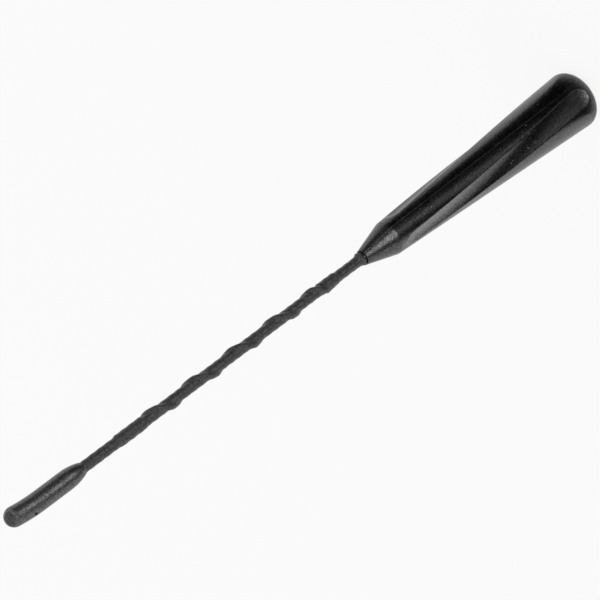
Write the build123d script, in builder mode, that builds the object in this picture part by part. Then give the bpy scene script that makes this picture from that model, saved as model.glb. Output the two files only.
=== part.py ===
from build123d import *
import math
import os

# Car mast aerial: a whip with a spiral sleeve and a tip cap, carried by a fluted rubber boot.
# The seat face lies on Z = 0 and the mast stands along +Z. Millimetres and degrees.
# Polar angles are counted from +X towards +Y.

# Ferrule, turned brass with a female M5 thread, whose bore is drawn at the tapping size
thread_bore_d = 4.2
thread_depth = 12.0
thread_lead_in = 0.5
drill_point_angle = 118.0
ferrule_flange_d = 9.0
ferrule_flange_h = 2.0
ferrule_body_d = 7.4
ferrule_body_h = 16.0
ferrule_neck_d = 4.6
ferrule_neck_h = 14.0
grip_groove_depth = 0.6
grip_groove_w = 5.0
rod_socket_depth = 12.0

# Mast core: a glass rod, the layer of wire wound on it and the sleeve over both
rod_d = 2.2
wire_d = 0.3
sleeve_wall = 0.28
fit = 0.02

# Spiral ridge of the sleeve, right-handed: a broad lobe that fades into a low collar at each end.
# Over its low fade it stands upright, then it turns at the tighter pitch up to ridge_tight_length.
# ridge_least_h keeps a trace of the lobe where it has faded, so that every section has the same four edges.
ridge_pitch = 16.2
ridge_tight_pitch = 11.5
ridge_tight_length = 10.8
ridge_h = 0.64
ridge_lobe_r = 1.3
ridge_above_nose = 11.2
ridge_length = 89.0
ridge_start_angle = 185.0
ridge_fade_low = 5.2
ridge_fade_high = 12.0
ridge_least_h = 0.03
ridge_sections_per_turn = 20
collar_h = 0.26
collar_taper = 1.2
collar_low_length = 7.0
collar_high_length = 10.0

# Boot, moulded rubber
boot_base_d = 19.6
boot_body_h = 89.5
boot_shoulder_d = 11.2
boot_nose_d = 4.9
boot_nose_h = 11.3
boot_base_edge_r = 2.6
boot_shoulder_r = 3.0
boot_nose_edge_r = 0.1
boot_nose_step = 0.2
spigot_h = 1.5
spigot_lip = 0.12

# Flutes of the boot, scooped by a ball along a left-handed twist, deeper towards the seat
flute_count = 3
flute_seat_angle = -92.0
flute_twist_per_mm = -0.587
flute_low_z = 7.4
flute_below_shoulder = 6.0
flute_ball_r = 13.0
flute_low_depth = 1.06
flute_high_depth = 0.556
flute_section_count = 9

# Sleeve's flared lower end and the tip cap
sleeve_end_gap = 0.5
sleeve_flare_h = 0.9
bare_mast_h = 112.7
cap_d = 5.9
cap_mouth_wall = 0.16
cap_taper_h = 6.0
cap_straight_h = 9.0
cap_bend_r = 66.0
cap_bend_angle = 7.9
cap_grip_depth = 8.0
rod_above_sleeve = 1.5

# Heights and radii that follow
ferrule_top = ferrule_flange_h + ferrule_body_h + ferrule_neck_h
nose_z = boot_body_h + boot_nose_h
spigot_top = nose_z + spigot_h
core_r = rod_d / 2 + wire_d
bore_r = core_r + fit
sleeve_r = bore_r + sleeve_wall
spigot_tip_r = bore_r + spigot_lip
spigot_r = boot_nose_d / 2 - boot_nose_step
spigot_slope = (spigot_r - spigot_tip_r) / spigot_h
sleeve_low = nose_z + sleeve_end_gap
sleeve_low_r = spigot_tip_r + (spigot_top - sleeve_low) * spigot_slope + fit
flare_top = spigot_top + sleeve_flare_h
flute_high_z = boot_body_h - flute_below_shoulder
ridge_z = nose_z + ridge_above_nose
ridge_top = ridge_z + ridge_length
cap_z = nose_z + bare_mast_h
sleeve_top = cap_z + cap_grip_depth
rod_low = ferrule_top - rod_socket_depth
rod_top = sleeve_top + rod_above_sleeve

os.makedirs("parts", exist_ok=True)


def boot_radius(z):
    """Radius of the boot's body cone at a height above the seat."""
    return (boot_base_d + (boot_shoulder_d - boot_base_d) * z / boot_body_h) / 2


# Outline of the ferrule from its axis out, shared with the cavity moulded round it
with BuildSketch(Plane.XZ) as ferrule_outline:
    Rectangle(ferrule_flange_d / 2, ferrule_flange_h, align=(Align.MIN, Align.MIN))
    with Locations((0, ferrule_flange_h)):
        Rectangle(ferrule_body_d / 2, ferrule_body_h, align=(Align.MIN, Align.MIN))
    with Locations((0, ferrule_flange_h + ferrule_body_h)):
        Rectangle(ferrule_neck_d / 2, ferrule_neck_h, align=(Align.MIN, Align.MIN))
    with Locations((ferrule_body_d / 2, ferrule_flange_h + ferrule_body_h / 2)):
        Rectangle(2 * grip_groove_depth, grip_groove_w, mode=Mode.SUBTRACT)

# Threaded ferrule
with BuildPart() as threaded_ferrule:
    revolve(ferrule_outline.sketch, axis=Axis.Z)
    with BuildSketch(Plane.XZ) as thread_bore:
        with BuildLine():
            Polyline(
                (0, 0),
                (thread_bore_d / 2 + thread_lead_in, 0),
                (thread_bore_d / 2, thread_lead_in),
                (thread_bore_d / 2, thread_depth),
                (0, thread_depth + thread_bore_d / 2 / math.tan(math.radians(drill_point_angle / 2))),
                close=True,
            )
        make_face()
    revolve(axis=Axis.Z, mode=Mode.SUBTRACT)
    with Locations((0, 0, ferrule_top)):
        Hole(rod_d / 2 + fit, rod_socket_depth)
threaded_ferrule.part.label = "threaded_ferrule"
export_step(threaded_ferrule.part, "parts/threaded_ferrule.step")

# Glass rod from the ferrule's socket to the cap
with BuildPart() as core_rod:
    with Locations((0, 0, rod_low)):
        Cylinder(rod_d / 2, rod_top - rod_low, align=(Align.CENTER, Align.CENTER, Align.MIN))
core_rod.part.label = "core_rod"
export_step(core_rod.part, "parts/core_rod.step")

# Aerial wire: its turns and their lacquer are one layer on the rod, from the ferrule to the sleeve's top
with BuildPart() as wire_winding:
    with BuildSketch(Plane.XY.offset(ferrule_top)):
        Circle(core_r)
        Circle(rod_d / 2 + fit, mode=Mode.SUBTRACT)
    extrude(amount=sleeve_top - ferrule_top)
wire_winding.part.label = "wire_winding"
export_step(wire_winding.part, "parts/wire_winding.step")

# Sleeve: the section of tube and ridge, turned as it climbs, then the plain tube below and above
with BuildPart() as mast_sleeve:
    ridge_steps = math.ceil(ridge_length / ridge_pitch * ridge_sections_per_turn)
    for step in range(ridge_steps + 1):
        rise = ridge_length * step / ridge_steps
        drop = ridge_length - rise
        low_collar = min(rise, collar_low_length + collar_taper - rise) / collar_taper
        high_collar = min(drop, collar_high_length + collar_taper - drop) / collar_taper
        tube_r = sleeve_r + collar_h * max(0, min(1, max(low_collar, high_collar)))
        fade = min(1, rise / ridge_fade_low, drop / ridge_fade_high)
        crest_r = max(sleeve_r + ridge_h * fade, tube_r + ridge_least_h)
        lobe_x = crest_r - ridge_lobe_r
        flank = math.acos((tube_r - ridge_lobe_r) / lobe_x)
        foot = Vector(tube_r * math.cos(flank), tube_r * math.sin(flank))
        brow = Vector(lobe_x + ridge_lobe_r * math.cos(flank), ridge_lobe_r * math.sin(flank))
        wound = max(rise, ridge_fade_low)
        tight_turns = (min(wound, ridge_tight_length) - ridge_fade_low) / ridge_tight_pitch
        even_turns = max(0, wound - ridge_tight_length) / ridge_pitch
        turn = math.radians(ridge_start_angle + 360 * (tight_turns + even_turns))
        lobe_side = (math.cos(turn), math.sin(turn), 0)
        with BuildSketch(Plane((0, 0, ridge_z + rise), x_dir=lobe_side, z_dir=(0, 0, 1))):
            with BuildLine():
                ThreePointArc((brow.X, -brow.Y), (crest_r, 0), brow)
                Line(brow, foot)
                ThreePointArc(foot, (-tube_r, 0), (foot.X, -foot.Y))
                Line((foot.X, -foot.Y), (brow.X, -brow.Y))
            make_face()
    loft(ruled=True)
    with BuildSketch(Plane.XZ) as tube_below:
        with BuildLine():
            Polyline(
                (0, sleeve_low),
                (sleeve_low_r + sleeve_wall, sleeve_low),
                (spigot_tip_r + fit + sleeve_wall, spigot_top),
                (sleeve_r, flare_top),
                (sleeve_r, ridge_z),
                (0, ridge_z),
                close=True,
            )
        make_face()
    revolve(axis=Axis.Z)
    with Locations((0, 0, ridge_top)):
        Cylinder(sleeve_r, sleeve_top - ridge_top, align=(Align.CENTER, Align.CENTER, Align.MIN))
    with BuildSketch(Plane.XZ) as sleeve_bore:
        with BuildLine():
            Polyline(
                (0, sleeve_low),
                (sleeve_low_r, sleeve_low),
                (spigot_tip_r + fit, spigot_top),
                (bore_r, flare_top),
                (bore_r, sleeve_top),
                (0, sleeve_top),
                close=True,
            )
        make_face()
    revolve(axis=Axis.Z, mode=Mode.SUBTRACT)
mast_sleeve.part.label = "mast_sleeve"
export_step(mast_sleeve.part, "parts/mast_sleeve.step")

# Boot: turned form, then the cavities moulded round the ferrule and the core, then the flutes
with BuildPart() as boot:
    with BuildSketch(Plane.XZ) as boot_outline:
        with BuildLine():
            Polyline(
                (0, 0),
                (boot_base_d / 2, 0),
                (boot_shoulder_d / 2, boot_body_h),
                (boot_nose_d / 2, nose_z),
                (spigot_r, nose_z),
                (spigot_tip_r, spigot_top),
                (0, spigot_top),
                close=True,
            )
        make_face()
        corners = boot_outline.vertices().sort_by(Axis.X, reverse=True)
        fillet(corners[0], boot_base_edge_r)
        fillet(corners[1], boot_shoulder_r)
        fillet(corners[2], boot_nose_edge_r)
    revolve(axis=Axis.Z)
    revolve(ferrule_outline.sketch, axis=Axis.Z, mode=Mode.SUBTRACT)
    with Locations((0, 0, spigot_top)):
        Hole(bore_r, spigot_top - ferrule_top)
    for flute in range(flute_count):
        for step in range(flute_section_count):
            share = step / (flute_section_count - 1)
            ball_z = flute_low_z + share * (flute_high_z - flute_low_z)
            depth = flute_low_depth + share * (flute_high_depth - flute_low_depth)
            out = boot_radius(ball_z) - depth + flute_ball_r
            turn = flute_seat_angle + flute_twist_per_mm * ball_z + 360 / flute_count * flute
            centre = Vector(out, 0, ball_z).rotate(Axis.Z, turn)
            with BuildSketch(Plane(centre)):
                Circle(flute_ball_r)
            with Locations(centre):
                if step == 0:
                    Sphere(flute_ball_r, arc_size1=-90, arc_size2=0, align=None, mode=Mode.SUBTRACT)
                if step == flute_section_count - 1:
                    Sphere(flute_ball_r, arc_size1=0, arc_size2=90, align=None, mode=Mode.SUBTRACT)
        loft(mode=Mode.SUBTRACT)
boot.part.label = "boot"
export_step(boot.part, "parts/boot.step")

# Tip cap: tapered mouth, straight body, bent round end and the blind bore that grips the sleeve
with BuildPart() as tip_cap:
    cap_bore_r = sleeve_r + fit
    cap_mouth_r = cap_bore_r + cap_mouth_wall
    cap_body_z = cap_z + cap_taper_h
    cap_bend_z = cap_body_z + cap_straight_h
    with BuildSketch(Plane.XZ) as cap_outline:
        with BuildLine():
            Line((0, cap_bend_z), (cap_d / 2, cap_bend_z))
            Line((cap_d / 2, cap_bend_z), (cap_d / 2, cap_body_z))
            TangentArc((cap_d / 2, cap_body_z), (cap_mouth_r, cap_z), tangent=(0, -1))
            Line((cap_mouth_r, cap_z), (0, cap_z))
            Line((0, cap_z), (0, cap_bend_z))
        make_face()
    revolve(axis=Axis.Z)
    with BuildLine(Plane.XZ) as cap_bend:
        JernArc((0, cap_bend_z), (0, 1), cap_bend_r, -cap_bend_angle)
    with BuildSketch(Plane.XY.offset(cap_bend_z)):
        Circle(cap_d / 2)
    sweep(path=cap_bend.line)
    with Locations(cap_bend.line @ 1):
        Sphere(cap_d / 2)
    with Locations((0, 0, cap_z)):
        Cylinder(
            cap_bore_r,
            rod_top + fit - cap_z,
            align=(Align.CENTER, Align.CENTER, Align.MIN),
            mode=Mode.SUBTRACT,
        )
tip_cap.part.label = "tip_cap"
export_step(tip_cap.part, "parts/tip_cap.step")
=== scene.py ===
import math

import bpy
from mathutils import Matrix, Vector


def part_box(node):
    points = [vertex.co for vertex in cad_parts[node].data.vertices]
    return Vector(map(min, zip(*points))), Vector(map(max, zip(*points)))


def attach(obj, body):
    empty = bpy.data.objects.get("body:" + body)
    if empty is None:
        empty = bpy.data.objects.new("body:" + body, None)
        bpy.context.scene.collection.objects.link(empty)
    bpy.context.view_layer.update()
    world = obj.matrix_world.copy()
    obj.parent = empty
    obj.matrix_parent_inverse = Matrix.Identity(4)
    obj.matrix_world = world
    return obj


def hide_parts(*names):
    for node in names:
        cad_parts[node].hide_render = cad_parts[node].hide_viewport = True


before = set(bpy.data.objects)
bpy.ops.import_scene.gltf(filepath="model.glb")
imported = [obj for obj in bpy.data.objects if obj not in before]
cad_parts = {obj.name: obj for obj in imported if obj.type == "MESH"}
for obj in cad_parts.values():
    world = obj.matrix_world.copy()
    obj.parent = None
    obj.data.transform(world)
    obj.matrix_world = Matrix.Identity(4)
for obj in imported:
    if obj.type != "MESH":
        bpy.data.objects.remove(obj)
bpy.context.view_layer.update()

# Threaded ferrule
# A turned brass bush with a female M5 thread that takes the stud on the car's aerial base.
# The boot is moulded round it, and the wide groove round its waist keeps the rubber from pulling off.
mm = 0.001
thread_pitch = 0.8
thread_crest_r = 2.1
thread_root_r = 2.5
groove_half_pitches = 0.3375
flank_pitches = 0.25
thread_lead_in = 0.5
thread_depth = 12.0
thread_run_out = 1.0
thread_steps_a_turn = 12
drill_point_h = 1.26
ferrule_flange_r = 4.5
ferrule_flange_z = 2.0
ferrule_flange_edge = 0.25
ferrule_body_r = 3.7
ferrule_body_z = 18.0
ferrule_grip_r = 3.1
ferrule_grip_low_z = 7.5
ferrule_grip_high_z = 12.5
ferrule_neck_r = 2.3
ferrule_top_z = 32.0
ferrule_top_edge = 0.3
socket_r = 1.12
socket_floor_z = 20.0
ferrule_columns = 72
sharp_angle = math.radians(38)


def turned(radius, height, columns):
    """A ring of points round the mast's axis, from a radius and a height in millimetres."""
    angles = [2 * math.pi * column / columns for column in range(columns)]
    return [(radius * mm * math.cos(a), radius * mm * math.sin(a), height * mm) for a in angles]


def skin(name, rings, start_pole=None, end_pole=None):
    """A closed mesh through rings of points, shut by a pole at each end or by meeting its own first ring."""
    points = [point for ring in rings for point in ring]
    columns = len(rings[0])
    strips = len(rings) - 1 if start_pole else len(rings)
    faces = []
    for strip in range(strips):
        here = strip * columns
        there = (strip + 1) % len(rings) * columns
        for column in range(columns):
            beside = (column + 1) % columns
            faces.append((here + column, here + beside, there + beside, there + column))
    if start_pole:
        points.append(start_pole)
        tip = len(points) - 1
        faces += [(tip, (column + 1) % columns, column) for column in range(columns)]
    if end_pole:
        points.append(end_pole)
        tip = len(points) - 1
        last = (len(rings) - 1) * columns
        faces += [(last + column, last + (column + 1) % columns, tip) for column in range(columns)]
    mesh = bpy.data.meshes.new(name)
    mesh.from_pydata(points, [], faces)
    mesh.shade_smooth()
    mesh.set_sharp_from_angle(angle=sharp_angle)
    piece = bpy.data.objects.new(name, mesh)
    bpy.context.collection.objects.link(piece)
    return piece


def thread_ring(height):
    """A ring of the threaded bore: crest flats, flanks and root flats of a right-handed thread."""
    fade = min(1, max(0, (thread_depth - height) / thread_run_out))
    ring = []
    for column in range(ferrule_columns):
        turn = column / ferrule_columns
        phase = (height / thread_pitch - turn) % 1
        groove = min(1, max(0, (groove_half_pitches - abs(phase - 0.5)) / flank_pitches))
        radius = thread_crest_r + (thread_root_r - thread_crest_r) * groove * fade
        radius = max(radius, thread_crest_r + thread_lead_in - height)
        angle = 2 * math.pi * turn
        ring.append((radius * mm * math.cos(angle), radius * mm * math.sin(angle), height * mm))
    return ring


thread_steps = round(thread_depth / thread_pitch * thread_steps_a_turn)
ferrule_rings = [thread_ring(thread_depth * (1 - step / thread_steps)) for step in range(thread_steps + 1)]
ferrule_side = (
    (ferrule_flange_r, ferrule_flange_z),
    (ferrule_body_r, ferrule_flange_z),
    (ferrule_body_r, ferrule_grip_low_z),
    (ferrule_grip_r, ferrule_grip_low_z),
    (ferrule_grip_r, ferrule_grip_high_z),
    (ferrule_body_r, ferrule_grip_high_z),
    (ferrule_body_r, ferrule_body_z),
    (ferrule_neck_r, ferrule_body_z),
)
ferrule_outside = (
    (ferrule_flange_r - ferrule_flange_edge, 0.0),
    (ferrule_flange_r, ferrule_flange_edge),
    *ferrule_side,
    (ferrule_neck_r, ferrule_top_z - ferrule_top_edge),
    (ferrule_neck_r - ferrule_top_edge, ferrule_top_z),
    (socket_r, ferrule_top_z),
    (socket_r, socket_floor_z),
)
ferrule_rings += [turned(radius, height, ferrule_columns) for radius, height in ferrule_outside]
ferrule = skin(
    "ferrule",
    ferrule_rings,
    start_pole=(0, 0, (thread_depth + drill_point_h) * mm),
    end_pole=(0, 0, socket_floor_z * mm),
)

brass_colour = (0.71, 0.55, 0.27, 1)
brass_tarnished = (0.5112, 0.374, 0.162, 1)
brass_roughness = (0.22, 0.42)
tarnish_scale = 420
tarnish_span = (0.35, 0.7)
tool_mark_scale = 1500
tool_mark_wobble = 0.6
tool_mark_h = 0.004
noise_roughness = 0.6
noise_span = (0.3, 0.7)
full_share = (0, 1)


def new_finish(name):
    """A fresh material: itself, its node tree, its surface shader and the coordinates of the object."""
    finish = bpy.data.materials.new(name)
    finish.use_nodes = True
    tree = finish.node_tree
    shader = tree.nodes["Principled BSDF"]
    place = tree.nodes.new("ShaderNodeTexCoord")
    return finish, tree, shader, place.outputs["Object"]


def add_noise(tree, vector, scale, detail=4):
    """Cloudy noise over the object; the scale is in lumps to a metre."""
    noise = tree.nodes.new("ShaderNodeTexNoise")
    noise.inputs["Scale"].default_value = scale
    noise.inputs["Detail"].default_value = detail
    noise.inputs["Roughness"].default_value = noise_roughness
    tree.links.new(vector, noise.inputs["Vector"])
    return noise.outputs["Fac"]


def add_range(tree, value, span, result):
    """Stretches a value from one span to another and clamps it there."""
    stretch = tree.nodes.new("ShaderNodeMapRange")
    stretch.inputs["From Min"].default_value = span[0]
    stretch.inputs["From Max"].default_value = span[1]
    stretch.inputs["To Min"].default_value = result[0]
    stretch.inputs["To Max"].default_value = result[1]
    tree.links.new(value, stretch.inputs["Value"])
    return stretch.outputs["Result"]


def add_mix(tree, share, first, second):
    """Blends two colours by a share; each may be a colour or the output of another node."""
    mix = tree.nodes.new("ShaderNodeMix")
    mix.data_type = "RGBA"
    for socket, colour in ((mix.inputs["A"], first), (mix.inputs["B"], second)):
        if isinstance(colour, tuple):
            socket.default_value = colour
        else:
            tree.links.new(colour, socket)
    tree.links.new(share, mix.inputs["Factor"])
    return mix.outputs["Result"]


def add_bump(tree, shader, height, depth_mm):
    """Raises the surface by a height map of a given depth."""
    bump = tree.nodes.new("ShaderNodeBump")
    bump.inputs["Distance"].default_value = depth_mm * mm
    tree.links.new(height, bump.inputs["Height"])
    tree.links.new(bump.outputs["Normal"], shader.inputs["Normal"])


brass, brass_tree, brass_shader, brass_place = new_finish("turned_brass")
tarnish = add_noise(brass_tree, brass_place, tarnish_scale)
tarnish_share = add_range(brass_tree, tarnish, tarnish_span, full_share)
brass_tone = add_mix(brass_tree, tarnish_share, brass_colour, brass_tarnished)
brass_dulling = add_range(brass_tree, tarnish, noise_span, brass_roughness)
brass_tree.links.new(brass_tone, brass_shader.inputs["Base Color"])
brass_tree.links.new(brass_dulling, brass_shader.inputs["Roughness"])
brass_shader.inputs["Metallic"].default_value = 1
tool_marks = brass_tree.nodes.new("ShaderNodeTexWave")
tool_marks.wave_type = "RINGS"
tool_marks.rings_direction = "Z"
tool_marks.inputs["Scale"].default_value = tool_mark_scale
tool_marks.inputs["Distortion"].default_value = tool_mark_wobble
brass_tree.links.new(brass_place, tool_marks.inputs["Vector"])
add_bump(brass_tree, brass_shader, tool_marks.outputs["Fac"], tool_mark_h)
ferrule.data.materials.append(brass)
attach(ferrule, "root")
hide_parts("threaded_ferrule")

# Glass-fibre rod
# The springy core of the mast: drawn glass strands in clear resin, glued into the ferrule's socket.
# It runs up inside the winding and the sleeve, and ends in the tip cap.
fibre_pale = (0.86, 0.85, 0.76, 1)
fibre_dark = (0.64, 0.61, 0.48, 1)
fibre_roughness = (0.3, 0.5)
strand_scale = 6000
strand_stretch = (1, 1, 0.02)
strand_h = 0.02

fibre, fibre_tree, fibre_shader, fibre_place = new_finish("glass_fibre")
drawn_out = fibre_tree.nodes.new("ShaderNodeMapping")
drawn_out.inputs["Scale"].default_value = strand_stretch
fibre_tree.links.new(fibre_place, drawn_out.inputs["Vector"])
strands = add_noise(fibre_tree, drawn_out.outputs["Vector"], strand_scale)
fibre_tone = add_mix(fibre_tree, strands, fibre_pale, fibre_dark)
fibre_dulling = add_range(fibre_tree, strands, noise_span, fibre_roughness)
fibre_tree.links.new(fibre_tone, fibre_shader.inputs["Base Color"])
fibre_tree.links.new(fibre_dulling, fibre_shader.inputs["Roughness"])
add_bump(fibre_tree, fibre_shader, strands, strand_h)
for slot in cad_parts["core_rod"].material_slots:
    slot.material = fibre

# Aerial wire
# Enamelled copper wire wound up the rod in a long right-handed spiral, from the ferrule to the cap.
# The sleeve shrinks down on it, so that every turn shows as a faint bump outside.
winding_low, winding_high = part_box("wire_winding")
wire_d = 0.28
wire_pitch = 3.0
wire_coil_r = winding_high[0] / mm - wire_d / 2
wire_low_z = winding_low[2] / mm + wire_d / 2
wire_high_z = winding_high[2] / mm - wire_d / 2
wire_steps_a_turn = 24
wire_sides = 8


def on_coil(turns):
    """Centre of the wire after some turns."""
    angle = 2 * math.pi * turns
    height = wire_low_z + wire_pitch * turns
    return Vector((wire_coil_r * math.cos(angle), wire_coil_r * math.sin(angle), height))


wire_turns = (wire_high_z - wire_low_z) / wire_pitch
wire_steps = round(wire_turns * wire_steps_a_turn)
wire_climb = wire_pitch / (2 * math.pi * wire_coil_r)
wire_rings = []
for step in range(wire_steps + 1):
    centre = on_coil(wire_turns * step / wire_steps)
    outward = Vector((centre.x, centre.y, 0)).normalized()
    along = Vector((-outward.y, outward.x, wire_climb)).normalized()
    sideways = along.cross(outward)
    ring = []
    for side in range(wire_sides):
        angle = 2 * math.pi * side / wire_sides
        point = centre + (outward * math.cos(angle) + sideways * math.sin(angle)) * (wire_d / 2)
        ring.append(tuple(point * mm))
    wire_rings.append(ring)
wire = skin(
    "aerial_wire",
    wire_rings,
    start_pole=tuple(on_coil(0) * mm),
    end_pole=tuple(on_coil(wire_turns) * mm),
)

copper_bright = (0.62, 0.29, 0.14, 1)
copper_dark = (0.42, 0.16, 0.07, 1)
copper_roughness = (0.2, 0.35)
enamel_scale = 500
enamel_metal = 0.8
enamel_coat = 0.5

enamel, enamel_tree, enamel_shader, enamel_place = new_finish("enamelled_copper")
enamel_cloud = add_noise(enamel_tree, enamel_place, enamel_scale)
enamel_tone = add_mix(enamel_tree, enamel_cloud, copper_bright, copper_dark)
enamel_dulling = add_range(enamel_tree, enamel_cloud, noise_span, copper_roughness)
enamel_tree.links.new(enamel_tone, enamel_shader.inputs["Base Color"])
enamel_tree.links.new(enamel_dulling, enamel_shader.inputs["Roughness"])
enamel_shader.inputs["Metallic"].default_value = enamel_metal
enamel_shader.inputs["Coat Weight"].default_value = enamel_coat
wire.data.materials.append(enamel)
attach(wire, "root")
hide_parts("wire_winding")

# Mast sleeve
# A dark grey plastic tube shrunk over the core, with a broad spiral ridge that stops the mast from whistling.
# The ridge fades into a low collar at each end. The lower end, cut at a slant, fits over the boot's spigot.
sleeve_box_low, sleeve_box_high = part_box("mast_sleeve")
sleeve_low_z = sleeve_box_low[2] / mm
sleeve_high_z = sleeve_box_high[2] / mm
sleeve_r = 1.7
sleeve_bore_r = 1.42
sleeve_end_r = 2.31
sleeve_end_bore_r = 2.03
sleeve_spigot_r = 1.84
sleeve_spigot_bore_r = 1.56
sleeve_cut_h = 0.9
sleeve_cut_angle = math.radians(-40)
sleeve_cut_run = 3.0
spigot_top_z = 102.3
flare_top_z = 103.2
ridge_low_z = 112.0
ridge_high_z = 201.0
ridge_pitch = 16.2
ridge_tight_pitch = 11.5
ridge_tight_length = 10.8
ridge_h = 0.64
ridge_lobe_r = 1.3
ridge_start_angle = math.radians(185)
ridge_fade_low = 5.2
ridge_fade_high = 12.0
ridge_least_h = 0.03
collar_h = 0.26
collar_taper = 1.2
collar_low_length = 7.0
collar_high_length = 10.0
wire_mark_h = 0.04
sleeve_columns = 72
sleeve_step = 0.25


def eased(share):
    """A share from 0 to 1 that starts and ends gently."""
    share = min(1, max(0, share))
    return share * share * (3 - 2 * share)


def collar_share(into, length):
    """How far a collar has risen at a distance in from its outer end."""
    return min(eased(into / collar_taper), eased((length + collar_taper - into) / collar_taper))


def sleeve_tube_r(height):
    """Radius of the sleeve beside the ridge, with its flared foot and its two collars."""
    if height < spigot_top_z:
        share = (height - sleeve_low_z) / (spigot_top_z - sleeve_low_z)
        return sleeve_end_r + (sleeve_spigot_r - sleeve_end_r) * share
    if height < flare_top_z:
        share = eased((height - spigot_top_z) / (flare_top_z - spigot_top_z))
        return sleeve_spigot_r + (sleeve_r - sleeve_spigot_r) * share
    low_collar = collar_share(height - ridge_low_z, collar_low_length)
    high_collar = collar_share(ridge_high_z - height, collar_high_length)
    return sleeve_r + collar_h * max(low_collar, high_collar)


def sleeve_outside_r(height, angle):
    """Radius of the sleeve at a height and an angle: tube, ridge and the marks of the wire beneath."""
    tube_r = sleeve_tube_r(height)
    rise = height - ridge_low_z
    drop = ridge_high_z - height
    radius = tube_r
    if rise > 0 and drop > 0:
        fade = min(1, rise / ridge_fade_low, drop / ridge_fade_high)
        crest_r = max(sleeve_r + ridge_h * fade, tube_r + ridge_least_h)
        lobe_x = crest_r - ridge_lobe_r
        flank = math.acos((tube_r - ridge_lobe_r) / lobe_x)
        brow_x = lobe_x + ridge_lobe_r * math.cos(flank)
        brow = math.atan2(ridge_lobe_r * math.sin(flank), brow_x)
        wound = max(rise, ridge_fade_low)
        turns = (min(wound, ridge_tight_length) - ridge_fade_low) / ridge_tight_pitch
        turns += max(0, wound - ridge_tight_length) / ridge_pitch
        turn = angle - ridge_start_angle - 2 * math.pi * turns
        off = abs((turn + math.pi) % (2 * math.pi) - math.pi)
        if off < brow:
            radius = lobe_x * math.cos(off) + math.sqrt(ridge_lobe_r**2 - (lobe_x * math.sin(off))**2)
        elif off < flank:
            radius = tube_r / math.cos(flank - off)
    above_foot = eased((height - flare_top_z) / wire_pitch)
    wire_phase = 2 * math.pi * (height - wire_low_z) / wire_pitch - angle
    return radius + wire_mark_h * above_foot * (math.cos(wire_phase) - 1)


def sleeve_ring(height):
    """One ring of the sleeve's outside, slanted near the cut end."""
    near_cut = max(0, 1 - (height - sleeve_low_z) / sleeve_cut_run)
    ring = []
    for column in range(sleeve_columns):
        angle = 2 * math.pi * column / sleeve_columns
        radius = sleeve_outside_r(height, angle) * mm
        slant = sleeve_cut_h * near_cut * (1 + math.cos(angle - sleeve_cut_angle)) / 2
        ring.append((radius * math.cos(angle), radius * math.sin(angle), (height + slant) * mm))
    return ring


sleeve_length = sleeve_high_z - sleeve_low_z
sleeve_steps = round(sleeve_length / sleeve_step)
sleeve_heights = [sleeve_low_z + sleeve_length * step / sleeve_steps for step in range(sleeve_steps + 1)]
sleeve_bore = (
    (sleeve_bore_r, sleeve_high_z),
    (sleeve_bore_r, flare_top_z),
    (sleeve_spigot_bore_r, spigot_top_z),
    (sleeve_end_bore_r, sleeve_low_z),
)
sleeve_rings = [sleeve_ring(height) for height in sleeve_heights]
sleeve_rings += [turned(radius, height, sleeve_columns) for radius, height in sleeve_bore]
sleeve = skin("mast_sleeve_skin", sleeve_rings)

shrunk_dark = (0.013, 0.013, 0.0126, 1)
shrunk_pale = (0.038, 0.038, 0.037, 1)
shrunk_roughness = (0.48, 0.56)
shrunk_cloud_scale = 260
shrunk_grain_scale = 1100
shrunk_grain_span = (0.35, 0.65)
shrunk_grain_h = 0.12
shrunk_sheen = 0.2
shrunk_sheen_roughness = 0.4
shrunk_gloss = 0.5
speck_scale = 2600
speck_gloss = (0.2, 0.8)
black_gloss_ior = 2.0


def add_specks(tree, place):
    """Fine specks in the gloss of a surface, as a level from dull to bright."""
    specks = add_noise(tree, place, speck_scale, detail=1)
    return add_range(tree, specks, noise_span, speck_gloss)


def set_gloss(shader, share):
    """Sets how strongly a rubber or a plastic mirrors, cut back to a share where it is seen straight on."""
    shader.inputs["IOR"].default_value = black_gloss_ior
    shader.inputs["Specular Tint"].default_value = (share, share, share, 1)


shrunk, shrunk_tree, shrunk_shader, shrunk_place = new_finish("shrunk_sleeve")
shrunk_cloud = add_noise(shrunk_tree, shrunk_place, shrunk_cloud_scale)
shrunk_grain = add_noise(shrunk_tree, shrunk_place, shrunk_grain_scale, detail=2)
shrunk_share = add_range(shrunk_tree, shrunk_grain, shrunk_grain_span, full_share)
shrunk_tone = add_mix(shrunk_tree, shrunk_share, shrunk_dark, shrunk_pale)
shrunk_dulling = add_range(shrunk_tree, shrunk_cloud, noise_span, shrunk_roughness)
shrunk_specks = add_specks(shrunk_tree, shrunk_place)
shrunk_tree.links.new(shrunk_tone, shrunk_shader.inputs["Base Color"])
shrunk_tree.links.new(shrunk_dulling, shrunk_shader.inputs["Roughness"])
shrunk_tree.links.new(shrunk_specks, shrunk_shader.inputs["Specular IOR Level"])
shrunk_shader.inputs["Sheen Weight"].default_value = shrunk_sheen
shrunk_shader.inputs["Sheen Roughness"].default_value = shrunk_sheen_roughness
set_gloss(shrunk_shader, shrunk_gloss)
add_bump(shrunk_tree, shrunk_shader, shrunk_grain, shrunk_grain_h)
sleeve.data.materials.append(shrunk)
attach(sleeve, "root")
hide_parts("mast_sleeve")

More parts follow.
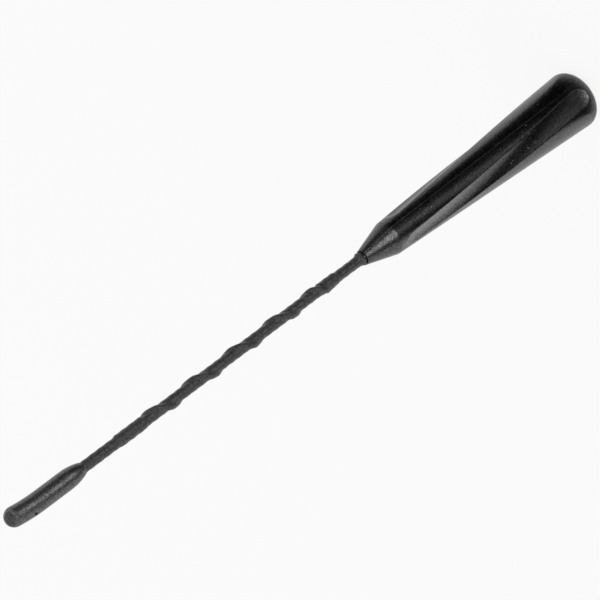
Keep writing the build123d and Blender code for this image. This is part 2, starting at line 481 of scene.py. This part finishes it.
# Boot
# One moulding of black rubber round the ferrule and the mast's foot, with three shallow flutes that twist
# to the left and grow rounder towards the shoulder. The mould's joint leaves a fine raised line up two sides.
spigot_end_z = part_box("boot")[1][2] / mm
boot_base_r = 9.8
boot_shoulder_r = 5.6
boot_shoulder_z = 89.5
boot_nose_r = 2.45
boot_nose_z = 100.8
boot_base_edge_r = 2.6
boot_shoulder_edge_r = 3.0
boot_nose_edge_r = 0.1
boot_spigot_r = 2.25
boot_spigot_tip_r = 1.54
boot_neck_r = 1.9
boot_neck_depth = 0.3
boot_bore_r = 1.42
flute_count = 3
flute_sector = 2 * math.pi / flute_count
flute_seat_angle = math.radians(-92)
flute_twist_per_mm = math.radians(-0.587)
flute_low_z = 8.1
flute_high_z = 83.5
flute_half_angle = math.radians(20.8)
flute_low_tool_r = 18.0
flute_high_tool_r = 7.5
flute_run_out_r = 12.0
flute_edge_soft = 0.12
flute_edge_w = 0.25
flute_least_w = math.radians(3)
flute_columns = 22
land_columns = 26
boot_step = 0.4
base_arc_steps = 20
shoulder_arc_steps = 8
nose_arc_steps = 4


def rounded_corner(before, corner, after, radius, steps):
    """Points of the arc that rounds off the corner of an outline."""
    corner = Vector(corner)
    to_before = (Vector(before) - corner).normalized()
    to_after = (Vector(after) - corner).normalized()
    half = to_before.angle(to_after) / 2
    centre = corner + (to_before + to_after).normalized() * (radius / math.sin(half))
    start = corner + to_before * (radius / math.tan(half)) - centre
    end = corner + to_after * (radius / math.tan(half)) - centre
    sweep = math.pi - 2 * half
    arc = []
    for step in range(steps + 1):
        from_start = math.sin((1 - step / steps) * sweep) / math.sin(sweep)
        from_end = math.sin(step / steps * sweep) / math.sin(sweep)
        arc.append(tuple(centre + start * from_start + end * from_end))
    return arc


def stretch_points(start, end, step):
    """Points between two ends of a straight stretch of an outline, both left out."""
    count = max(1, round((Vector(end) - Vector(start)).length / step))
    return [tuple(Vector(start).lerp(Vector(end), k / count)) for k in range(1, count)]


def flute_at(height):
    """Distance out, radius and angle of the round tool that scooped the first flute, at a height."""
    share = min(1, max(0, (height - flute_low_z) / (flute_high_z - flute_low_z)))
    tool_z = flute_low_z + share * (flute_high_z - flute_low_z)
    tool_r = flute_high_tool_r + (flute_low_tool_r - flute_high_tool_r) * (1 - share)**2
    cone_r = boot_base_r + (boot_shoulder_r - boot_base_r) * tool_z / boot_shoulder_z
    half_chord = cone_r * math.sin(flute_half_angle)
    out = cone_r * math.cos(flute_half_angle) + math.sqrt(tool_r**2 - half_chord**2)
    past = min(flute_run_out_r, abs(height - tool_z))
    lift = flute_run_out_r - math.sqrt(flute_run_out_r**2 - past**2)
    return out + lift, tool_r, flute_seat_angle + flute_twist_per_mm * tool_z


def boot_outside_r(turned_r, out, tool_r, off):
    """Radius at an angle off a flute's middle: the turned form less the scoop, its edges softened."""
    scoop = tool_r**2 - (out * math.sin(off))**2
    cut_r = out * math.cos(off) - math.sqrt(scoop) if scoop > 0 else out
    blend = max(0, flute_edge_soft - abs(cut_r - turned_r))
    return min(cut_r, turned_r) - blend**2 / (4 * flute_edge_soft)


def boot_ring(turned_r, height):
    """One ring of the boot's outside: the turned form less the flutes, with columns along their edges."""
    out, tool_r, seat = flute_at(height)
    reach = (turned_r**2 + out**2 - tool_r**2) / (2 * turned_r * out)
    half_w = max(flute_least_w, math.acos(min(1, reach)))
    edge = flute_edge_w / turned_r
    floor_w = 2 * (half_w - edge)
    land_w = flute_sector - 2 * half_w - 2 * edge
    far_edge = flute_sector - half_w
    offsets = [edge - half_w + floor_w * column / flute_columns for column in range(flute_columns)]
    offsets += [half_w - edge, half_w - edge / 2, half_w, half_w + edge / 2]
    offsets += [half_w + edge + land_w * column / land_columns for column in range(land_columns)]
    offsets += [far_edge - edge, far_edge - edge / 2, far_edge, far_edge + edge / 2]
    ring = []
    for flute in range(flute_count):
        for offset in offsets:
            off = min(offset, flute_sector - offset) if offset > 0 else -offset
            radius = boot_outside_r(turned_r, out, tool_r, off) * mm
            angle = seat + flute * flute_sector + offset
            ring.append((radius * math.cos(angle), radius * math.sin(angle), height * mm))
    return ring


def plain_boot_ring(radius, height):
    """A round ring with the boot's columns, for the places that no flute reaches."""
    return [
        (radius * mm * x / math.hypot(x, y), radius * mm * y / math.hypot(x, y), height * mm)
        for x, y, z in boot_ring(boot_nose_r, boot_nose_z)
    ]


boot_seat = (0, 0)
boot_corner = (boot_base_r, 0)
boot_shoulder = (boot_shoulder_r, boot_shoulder_z)
boot_nose = (boot_nose_r, boot_nose_z)
boot_spigot = (boot_spigot_r, boot_nose_z)
base_arc = rounded_corner(boot_seat, boot_corner, boot_shoulder, boot_base_edge_r, base_arc_steps)
shoulder_arc = rounded_corner(boot_corner, boot_shoulder, boot_nose, boot_shoulder_edge_r, shoulder_arc_steps)
nose_arc = rounded_corner(boot_shoulder, boot_nose, boot_spigot, boot_nose_edge_r, nose_arc_steps)
boot_body = stretch_points(base_arc[-1], shoulder_arc[0], boot_step)
boot_cone = stretch_points(shoulder_arc[-1], nose_arc[0], boot_step)
boot_outside = base_arc + boot_body + shoulder_arc + boot_cone + nose_arc
boot_inside = (
    (boot_neck_r, boot_nose_z - boot_neck_depth),
    (boot_neck_r, sleeve_low_z),
    (boot_spigot_tip_r, spigot_end_z),
    (boot_bore_r, spigot_end_z),
    (boot_bore_r, ferrule_top_z),
    (ferrule_neck_r, ferrule_top_z),
    *reversed(ferrule_side),
    (ferrule_flange_r, 0.0),
)
boot_rings = [boot_ring(radius, height) for radius, height in boot_outside]
boot_rings += [plain_boot_ring(radius, height) for radius, height in boot_inside]
boot = skin("boot_moulding", boot_rings)

parting_angles = (math.radians(-68), math.radians(112))
parting_h = 0.04
parting_w = 0.22
parting_profile = ((1, 0), (0.6, 0.5), (-0.6, 1), (-3, 0), (-0.6, -1), (0.6, -0.5))
parting_run = boot_outside[len(base_arc) // 2:-len(nose_arc)]


def parting_ring(turned_r, height, angle):
    """Points round the raised line of the mould's joint, sunk a little into the boot."""
    out, tool_r, seat = flute_at(height)
    off = (angle - seat) % flute_sector
    surface_r = boot_outside_r(turned_r, out, tool_r, min(off, flute_sector - off))
    half_w = parting_w / 2 / surface_r
    ring = []
    for rise, across in parting_profile:
        radius = (surface_r + rise * parting_h) * mm
        turn = angle + across * half_w
        ring.append((radius * math.cos(turn), radius * math.sin(turn), height * mm))
    return ring


def ring_middle(ring):
    """The middle of a ring of points."""
    return tuple(sum((Vector(point) for point in ring), Vector()) / len(ring))


parting_lines = []
for number, parting_angle in enumerate(parting_angles, start=1):
    parting_rings = [parting_ring(radius, height, parting_angle) for radius, height in parting_run]
    parting_line = skin(
        f"boot_parting_line_{number}",
        parting_rings,
        start_pole=ring_middle(parting_rings[0]),
        end_pole=ring_middle(parting_rings[-1]),
    )
    parting_lines.append(parting_line)

rubber_black = (0.0004, 0.0004, 0.00045, 1)
rubber_worn = (0.0016, 0.0016, 0.0017, 1)
rubber_roughness = (0.26, 0.32)
rubber_cloud_scale = 180
rubber_grain_scale = 1900
rubber_grain_h = 0.05
rubber_gloss = 0.75
bloom_colour = (0.05, 0.05, 0.05, 1)
bloom_scale = 2000
bloom_span = (0.55, 0.7)
bloom_strength = (0, 0.3)
dust_colour = (0.3, 0.3, 0.3, 1)
dust_scale = 600
dust_span = (0.06, 0.14)
dust_fade = (1, 0)
dust_cloud_scale = 240
dust_cloud_span = (0.48, 0.56)
dust_strength = (0, 0.8)


def add_math(tree, operation, first, second):
    """Joins two values by an operation; the second may be a plain number."""
    joined = tree.nodes.new("ShaderNodeMath")
    joined.operation = operation
    tree.links.new(first, joined.inputs[0])
    if isinstance(second, float):
        joined.inputs[1].default_value = second
    else:
        tree.links.new(second, joined.inputs[1])
    return joined.outputs["Value"]


rubber, rubber_tree, rubber_shader, rubber_place = new_finish("moulded_rubber")
rubber_cloud = add_noise(rubber_tree, rubber_place, rubber_cloud_scale)
rubber_grain = add_noise(rubber_tree, rubber_place, rubber_grain_scale, detail=1)
rubber_tone = add_mix(rubber_tree, rubber_cloud, rubber_black, rubber_worn)
bloom_cloud = add_noise(rubber_tree, rubber_place, bloom_scale, detail=2)
bloom = add_range(rubber_tree, bloom_cloud, bloom_span, bloom_strength)
bloomed_tone = add_mix(rubber_tree, bloom, rubber_tone, bloom_colour)
dust_specks = rubber_tree.nodes.new("ShaderNodeTexVoronoi")
dust_specks.inputs["Scale"].default_value = dust_scale
rubber_tree.links.new(rubber_place, dust_specks.inputs["Vector"])
dust_shape = add_range(rubber_tree, dust_specks.outputs["Distance"], dust_span, dust_fade)
dust_cloud = add_noise(rubber_tree, rubber_place, dust_cloud_scale)
dust_amount = add_range(rubber_tree, dust_cloud, dust_cloud_span, dust_strength)
dust = add_math(rubber_tree, "MULTIPLY", dust_shape, dust_amount)
dusty_tone = add_mix(rubber_tree, dust, bloomed_tone, dust_colour)
rubber_dulling = add_range(rubber_tree, rubber_cloud, noise_span, rubber_roughness)
rubber_specks = add_specks(rubber_tree, rubber_place)
rubber_tree.links.new(dusty_tone, rubber_shader.inputs["Base Color"])
rubber_tree.links.new(rubber_dulling, rubber_shader.inputs["Roughness"])
rubber_tree.links.new(rubber_specks, rubber_shader.inputs["Specular IOR Level"])
set_gloss(rubber_shader, rubber_gloss)
add_bump(rubber_tree, rubber_shader, rubber_grain, rubber_grain_h)
for rubber_piece in (boot, *parting_lines):
    rubber_piece.data.materials.append(rubber)
    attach(rubber_piece, "root")
    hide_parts("boot")

# Tip cap
# A dark grey plastic cap pushed over the end of the sleeve, with a tapered mouth and a round end.
# It left its mould with a slight bend to one side, and has a dark nick in its flank.
cap_mouth_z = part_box("tip_cap")[0][2] / mm
cap_r = 2.95
cap_mouth_r = 1.88
cap_bore_r = 1.72
cap_bore_top_z = 223.02
cap_taper_h = 6.0
cap_straight_h = 9.0
cap_bend_r = 66.0
cap_bend_angle = math.radians(7.9)
cap_columns = 64
cap_step = 0.4
cap_taper_steps = 12
cap_dome_steps = 16
nick_length = 18.9
nick_angle = math.radians(-150)
nick_reach = 0.8
nick_depth = 0.45


def cap_ring(radius, length):
    """A ring of the cap at a length along its bent middle line, counted from the mouth."""
    past = max(0, length - cap_taper_h - cap_straight_h)
    bend = min(past / cap_bend_r, cap_bend_angle)
    beyond = past - bend * cap_bend_r
    lean = Vector((math.cos(bend), 0, -math.sin(bend)))
    along = Vector((math.sin(bend), 0, math.cos(bend)))
    middle = Vector((cap_bend_r * (1 - math.cos(bend)), 0, cap_bend_r * math.sin(bend)))
    middle += along * beyond + Vector((0, 0, cap_mouth_z + length - past))
    ring = []
    for column in range(cap_columns):
        angle = 2 * math.pi * column / cap_columns
        round_off = (angle - nick_angle + math.pi) % (2 * math.pi) - math.pi
        off = math.hypot(round_off * radius, length - nick_length) / nick_reach
        dent_r = radius - nick_depth * eased(1 - off)
        point = middle + lean * (dent_r * math.cos(angle)) + Vector((0, dent_r * math.sin(angle), 0))
        ring.append(tuple(point * mm))
    return ring


cap_taper_r = ((cap_r - cap_mouth_r)**2 + cap_taper_h**2) / (2 * (cap_r - cap_mouth_r))
cap_dome_start = cap_taper_h + cap_straight_h + cap_bend_r * cap_bend_angle
cap_side = []
for step in range(cap_taper_steps + 1):
    short = cap_taper_h * (1 - step / cap_taper_steps)
    cap_side.append((cap_r - cap_taper_r + math.sqrt(cap_taper_r**2 - short**2), cap_taper_h - short))
cap_side += stretch_points((cap_r, cap_taper_h), (cap_r, cap_dome_start), cap_step)
for step in range(cap_dome_steps):
    angle = math.pi / 2 * step / cap_dome_steps
    cap_side.append((cap_r * math.cos(angle), cap_dome_start + cap_r * math.sin(angle)))
cap_rings = [turned(cap_bore_r, cap_bore_top_z, cap_columns), turned(cap_bore_r, cap_mouth_z, cap_columns)]
cap_rings += [cap_ring(radius, length) for radius, length in cap_side]
cap_tip = cap_ring(0, cap_dome_start + cap_r)[0]
cap = skin("tip_cap_moulding", cap_rings, start_pole=(0, 0, cap_bore_top_z * mm), end_pole=cap_tip)

satin_dark = (0.006, 0.006, 0.006, 1)
satin_pale = (0.01, 0.01, 0.01, 1)
satin_roughness = (0.33, 0.4)
satin_cloud_scale = 300
satin_grain_scale = 2000
satin_grain_h = 0.04
satin_gloss = 0.95
nick_column = round(nick_angle / (2 * math.pi) * cap_columns)
nick_place = cap_ring(cap_r, nick_length)[nick_column]
nick_span = (nick_reach * mm / 2, nick_reach * mm)

satin, satin_tree, satin_shader, satin_place = new_finish("satin_plastic")
satin_cloud = add_noise(satin_tree, satin_place, satin_cloud_scale)
satin_grain = add_noise(satin_tree, satin_place, satin_grain_scale, detail=1)
satin_tone = add_mix(satin_tree, satin_cloud, satin_dark, satin_pale)
satin_dulling = add_range(satin_tree, satin_cloud, noise_span, satin_roughness)
nick_distance = satin_tree.nodes.new("ShaderNodeVectorMath")
nick_distance.operation = "DISTANCE"
nick_distance.inputs[1].default_value = nick_place
satin_tree.links.new(satin_place, nick_distance.inputs[0])
outside_nick = add_range(satin_tree, nick_distance.outputs["Value"], nick_span, full_share)
satin_specks = add_math(satin_tree, "MULTIPLY", outside_nick, add_specks(satin_tree, satin_place))
satin_tree.links.new(satin_tone, satin_shader.inputs["Base Color"])
satin_tree.links.new(satin_dulling, satin_shader.inputs["Roughness"])
satin_tree.links.new(satin_specks, satin_shader.inputs["Specular IOR Level"])
set_gloss(satin_shader, satin_gloss)
add_bump(satin_tree, satin_shader, satin_grain, satin_grain_h)
cap.data.materials.append(satin)
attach(cap, "root")
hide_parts("tip_cap")

# Floor and surround
# A wide sheet of white paper under the seat, in an even, pale surround.
# Both glow nearly white where they are seen, straight or mirrored, and light the aerial no more for it.
floor_half = 3.0
floor_drop = 0.0002
paper_colour = (0.8, 0.8, 0.8, 1)
paper_roughness = 0.9
paper_gloss = 0.1
paper_glow = 0.88
surround_light = 0.5
surround_seen = 0.95

floor_mesh = bpy.data.meshes.new("studio_floor")
floor_corners = [(x * floor_half, y * floor_half, 0) for x, y in ((-1, -1), (1, -1), (1, 1), (-1, 1))]
floor_mesh.from_pydata(floor_corners, [], [(0, 1, 2, 3)])
floor = bpy.data.objects.new("studio_floor", floor_mesh)
floor.location.z = -floor_drop
bpy.context.collection.objects.link(floor)


def add_seen(tree, share):
    """A share for rays that show the background, straight, mirrored or through glass; none for the rest."""
    rays = tree.nodes.new("ShaderNodeLightPath")
    seen = rays.outputs["Is Camera Ray"]
    for kind in ("Is Glossy Ray", "Is Transmission Ray"):
        seen = add_math(tree, "MAXIMUM", seen, rays.outputs[kind])
    return add_math(tree, "MULTIPLY", seen, share)


paper = bpy.data.materials.new("white_paper")
paper.use_nodes = True
paper_tree = paper.node_tree
paper_shader = paper_tree.nodes["Principled BSDF"]
paper_shader.inputs["Base Color"].default_value = paper_colour
paper_shader.inputs["Roughness"].default_value = paper_roughness
paper_shader.inputs["Specular IOR Level"].default_value = paper_gloss
glow = paper_tree.nodes.new("ShaderNodeEmission")
glow.inputs["Strength"].default_value = 1
paper_mix = paper_tree.nodes.new("ShaderNodeMixShader")
paper_tree.links.new(add_seen(paper_tree, paper_glow), paper_mix.inputs["Fac"])
paper_tree.links.new(paper_shader.outputs["BSDF"], paper_mix.inputs[1])
paper_tree.links.new(glow.outputs["Emission"], paper_mix.inputs[2])
paper_tree.links.new(paper_mix.outputs["Shader"], paper_tree.nodes["Material Output"].inputs["Surface"])
floor_mesh.materials.append(paper)

world = bpy.data.worlds.new("white_surround")
bpy.context.scene.world = world
world.use_nodes = True
world_tree = world.node_tree
background = world_tree.nodes["Background"]
background.inputs["Color"].default_value = (1, 1, 1, 1)
seen_extra = add_seen(world_tree, surround_seen - surround_light)
backdrop = add_math(world_tree, "ADD", seen_extra, surround_light)
world_tree.links.new(backdrop, background.inputs["Strength"])

# Mirror cards
# Black and grey studio cards on the floor before the aerial, two with a turned-up far edge, and one above.
# Only mirror images show them, as the dark and grey bands in the gloss of the boot and the cap.
card_drop = 0.0001
card_corners = 8
card_near = 0.0145
card_far = 0.45
card_edge_h = 0.12
canopy_reach = 0.6
canopy_low_z = 0.4
canopy_high_z = 0.7
# Name, brightness, and rows of distance from the mast and height in metres, start and end angle in degrees
cards = (
    (
        "dark_card_right",
        0.0,
        (
            (card_near, 0, 6, 86),
            (card_far, 0, 6, 86),
            (card_far, card_edge_h, 6, 86),
        ),
    ),
    (
        "grey_card",
        0.4,
        (
            (card_near, 0, -4, -6),
            (0.025, 0, -3.3, -10),
            (0.04, 0, -2.2, -26),
            (0.08, 0, 0.5, -28),
            (0.11, 0, 2.6, -22),
            (0.16, 0, 6, -16),
            (card_far, 0, 6, -16),
        ),
    ),
    (
        "dark_card_left",
        0.0,
        (
            (card_near, 0, -6, -64),
            (0.025, 0, -10, -64),
            (0.04, 0, -26, -64),
            (0.08, 0, -28, -62),
            (0.11, 0, -22, -54),
            (0.16, 0, -16, -54),
            (card_far, 0, -16, -54),
            (card_far, card_edge_h, -16, -54),
        ),
    ),
    (
        "dark_card_near",
        0.0,
        (
            (card_near, 0, 6, -4),
            (0.16, 0, 6, 6),
        ),
    ),
    (
        "grey_card_above",
        0.5,
        (
            (canopy_reach, canopy_low_z, -180, 180),
            (canopy_reach, canopy_high_z, -180, 180),
            (0.0, canopy_high_z, -180, 180),
        ),
    ),
)
for name, tone, rows in cards:
    corners = []
    panels = []
    for corner in range(card_corners + 1):
        for reach, height, start, end in rows:
            angle = math.radians(start + (end - start) * corner / card_corners)
            corners.append((reach * math.sin(angle), -reach * math.cos(angle), height))
    for corner in range(card_corners):
        for row in range(len(rows) - 1):
            here = corner * len(rows) + row
            there = here + len(rows)
            panels.append((here, here + 1, there + 1, there))
    card_mesh = bpy.data.meshes.new(name)
    card_mesh.from_pydata(corners, [], panels)
    card_finish = bpy.data.materials.new(name)
    card_finish.use_nodes = True
    card_shader = card_finish.node_tree.nodes["Principled BSDF"]
    card_shader.inputs["Base Color"].default_value = (0, 0, 0, 1)
    card_shader.inputs["Specular IOR Level"].default_value = 0
    card_shader.inputs["Emission Color"].default_value = (1, 1, 1, 1)
    card_shader.inputs["Emission Strength"].default_value = tone
    card_mesh.materials.append(card_finish)
    card = bpy.data.objects.new(name, card_mesh)
    card.location.z = -card_drop
    card.visible_camera = False
    card.visible_diffuse = False
    card.visible_shadow = False
    bpy.context.collection.objects.link(card)

# Lamps
# A low, wide front lamp makes the highlights on the nose and the cap; two large ones fill in from the side
# and from behind. A small one that lies on the floor lights the upper wall of the flute.
aim = Vector((0.00112, 0, 0.1267))
# Name, place, the point it faces, width and height in metres, and power in watts
lamps = (
    ("front_lamp", (-0.005, -0.3, 0.057), aim, (0.22, 0.09), 0.19),
    ("fill_lamp", (-0.6, -0.25, 0.8), aim, (1.0, 1.0), 2.0),
    ("back_lamp", (0.35, 0.7, 0.7), aim, (1.0, 1.0), 3.0),
    ("low_lamp", (-0.125, 0.02, 0.001), (-0.125, 0.02, 1), (0.08, 0.09), 0.021),
)
for name, place, target, (width, height), power in lamps:
    lamp_data = bpy.data.lights.new(name, "AREA")
    lamp_data.shape = "RECTANGLE"
    lamp_data.size = width
    lamp_data.size_y = height
    lamp_data.energy = power
    lamp = bpy.data.objects.new(name, lamp_data)
    lamp.location = place
    lamp.rotation_euler = (Vector(place) - Vector(target)).to_track_quat("Z", "Y").to_euler()
    lamp.visible_camera = False
    bpy.context.collection.objects.link(lamp)

# Camera
# It stands where the photograph was taken from, in front of the aerial and above it.
# It is rolled so that the mast runs down to the left, with the boot at the upper right.
camera_tilt = math.radians(30)
camera_distance = 0.664
camera_field = math.radians(15.04)
camera_sensor_w = 36
camera_clip = 0.01
mast_slope = math.radians(36.85)
camera_data = bpy.data.cameras.new("photo_camera")
camera_data.sensor_width = camera_sensor_w
camera_data.lens = camera_sensor_w / 2 / math.tan(camera_field / 2)
camera_data.clip_start = camera_clip
camera = bpy.data.objects.new("photo_camera", camera_data)
bpy.context.collection.objects.link(camera)
towards = Vector((0, -math.cos(camera_tilt), math.sin(camera_tilt)))
plain_right = Vector((1, 0, 0))
plain_up = towards.cross(plain_right)
image_right = -plain_right * math.sin(mast_slope) - plain_up * math.cos(mast_slope)
image_up = plain_right * math.cos(mast_slope) - plain_up * math.sin(mast_slope)
camera_turn = Matrix((image_right, image_up, towards)).transposed().to_4x4()
camera.matrix_world = Matrix.Translation(aim + towards * camera_distance) @ camera_turn
bpy.context.scene.camera = camera
bpy.context.scene.view_settings.view_transform = "Standard"
